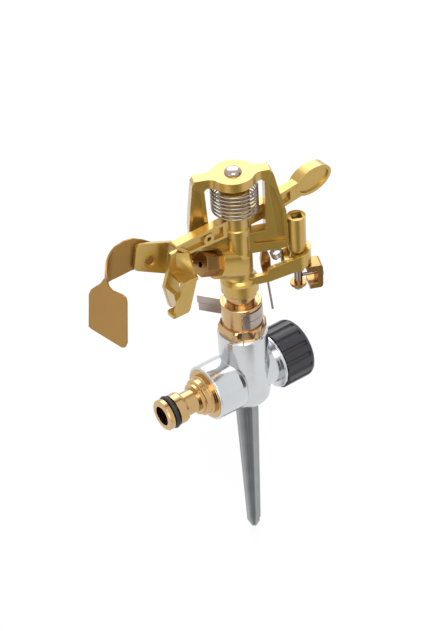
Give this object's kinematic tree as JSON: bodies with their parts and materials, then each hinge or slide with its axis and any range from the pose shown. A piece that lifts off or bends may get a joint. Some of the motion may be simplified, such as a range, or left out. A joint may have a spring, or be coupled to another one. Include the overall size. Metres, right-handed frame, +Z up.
{
  "type": "impulse sprinkler",
  "caption": "Impulse lawn sprinkler: hammer arm on a bridge body that turns on a tee with a hose tail, a capped outlet and a ground spike.",
  "frame": {"origin": "on the upright turning axis, where the ground spike leaves the tee", "axes": "+Z up along the turning axis, the hose tail points to -X, the capped outlet to +X"},
  "size_m": [0.1303, 0.0397, 0.2275],
  "materials": {
    "tee": "bare die-cast zinc, satin",
    "spike": "bare zinc, dull grey",
    "brass": "machined",
    "rubber": "matte",
    "cap_black": "satin moulded",
    "gold_paint": "gloss gold paint on zinc",
    "spring_steel": "drawn wire",
    "strip_steel": "rolled strip",
    "flap_sheet": "satin sheet",
    "fibre": "fibre washer"
  },
  "bodies": {
    "base": {"ground_spike": "spike", "tee_body": "tee", "inlet_connector": "brass", "inlet_o_ring": "rubber", "inlet_washer": "rubber", "bearing_sleeve": "brass"},
    "cap_carrier": {"cap_washer": "rubber"},
    "cap": {"outlet_cap": "cap_black"},
    "collar_lower": {"friction_collar_lower": "strip_steel"},
    "collar_upper": {"friction_collar_upper": "strip_steel"},
    "head": {"swivel_tube": "brass", "bearing_washers": "fibre", "bearing_spring": "spring_steel", "sprinkler_body": "gold_paint", "nozzle": "brass", "fulcrum_pin": "strip_steel", "arm_washer": "fibre", "arm_spring": "spring_steel", "deflector_screw": "brass", "trip_spring": "spring_steel"},
    "arm": {"hammer_arm": "gold_paint", "arm_bushing": "brass"},
    "flap": {"deflector_flap": "flap_sheet"},
    "trip": {"trip_shaft": "strip_steel", "trip_washer": "brass", "trip_shackle": "brass", "shackle_pin": "strip_steel", "trip_lever": "brass", "trip_wire": "spring_steel"}
  },
  "joints": [
    {"name": "head_turn", "type": "hinge", "parent": "base", "child": "head", "pos_m": [0, 0, 0.045], "axis": [0, 0, 1], "range_deg": [-75, 120]},
    {"name": "collar_lower_turn", "type": "hinge", "parent": "base", "child": "collar_lower", "pos_m": [0, 0, 0.0536], "axis": [0, 0, 1], "range_deg": [-15, 15]},
    {"name": "collar_upper_turn", "type": "hinge", "parent": "base", "child": "collar_upper", "pos_m": [0, 0, 0.0582], "axis": [0, 0, 1], "range_deg": [-15, 15]},
    {"name": "arm_swing", "type": "hinge", "parent": "head", "child": "arm", "pos_m": [0, 0, 0.109], "axis": [0, 0, 1], "range_deg": [0, 100], "stiffness_Nm_per_rad": 0.02, "springref_deg": -34.38},
    {"name": "flap_tilt", "type": "hinge", "parent": "head", "child": "flap", "pos_m": [-0.0443, 0.0084, 0.1034], "axis": [0, 1, 0], "range_deg": [-20, 25]},
    {"name": "trip_flip", "type": "hinge", "parent": "head", "child": "trip", "pos_m": [0.02621, -0.01145, 0.085], "axis": [0, 0, 1], "range_deg": [-8, 8]},
    {"name": "cap_travel", "type": "slide", "parent": "base", "child": "cap_carrier", "axis": [1, 0, 0], "range_m": [0, 0.0109]},
    {"name": "cap_spin", "type": "hinge", "parent": "cap_carrier", "child": "cap", "pos_m": [0.0245, 0, 0.016], "axis": [1, 0, 0], "range_deg": [0, 2160]}
  ],
  "couplings": [
    {"joint": "cap_travel", "follows": "cap_spin", "m_per_rad": 0.00028871}
  ]
}
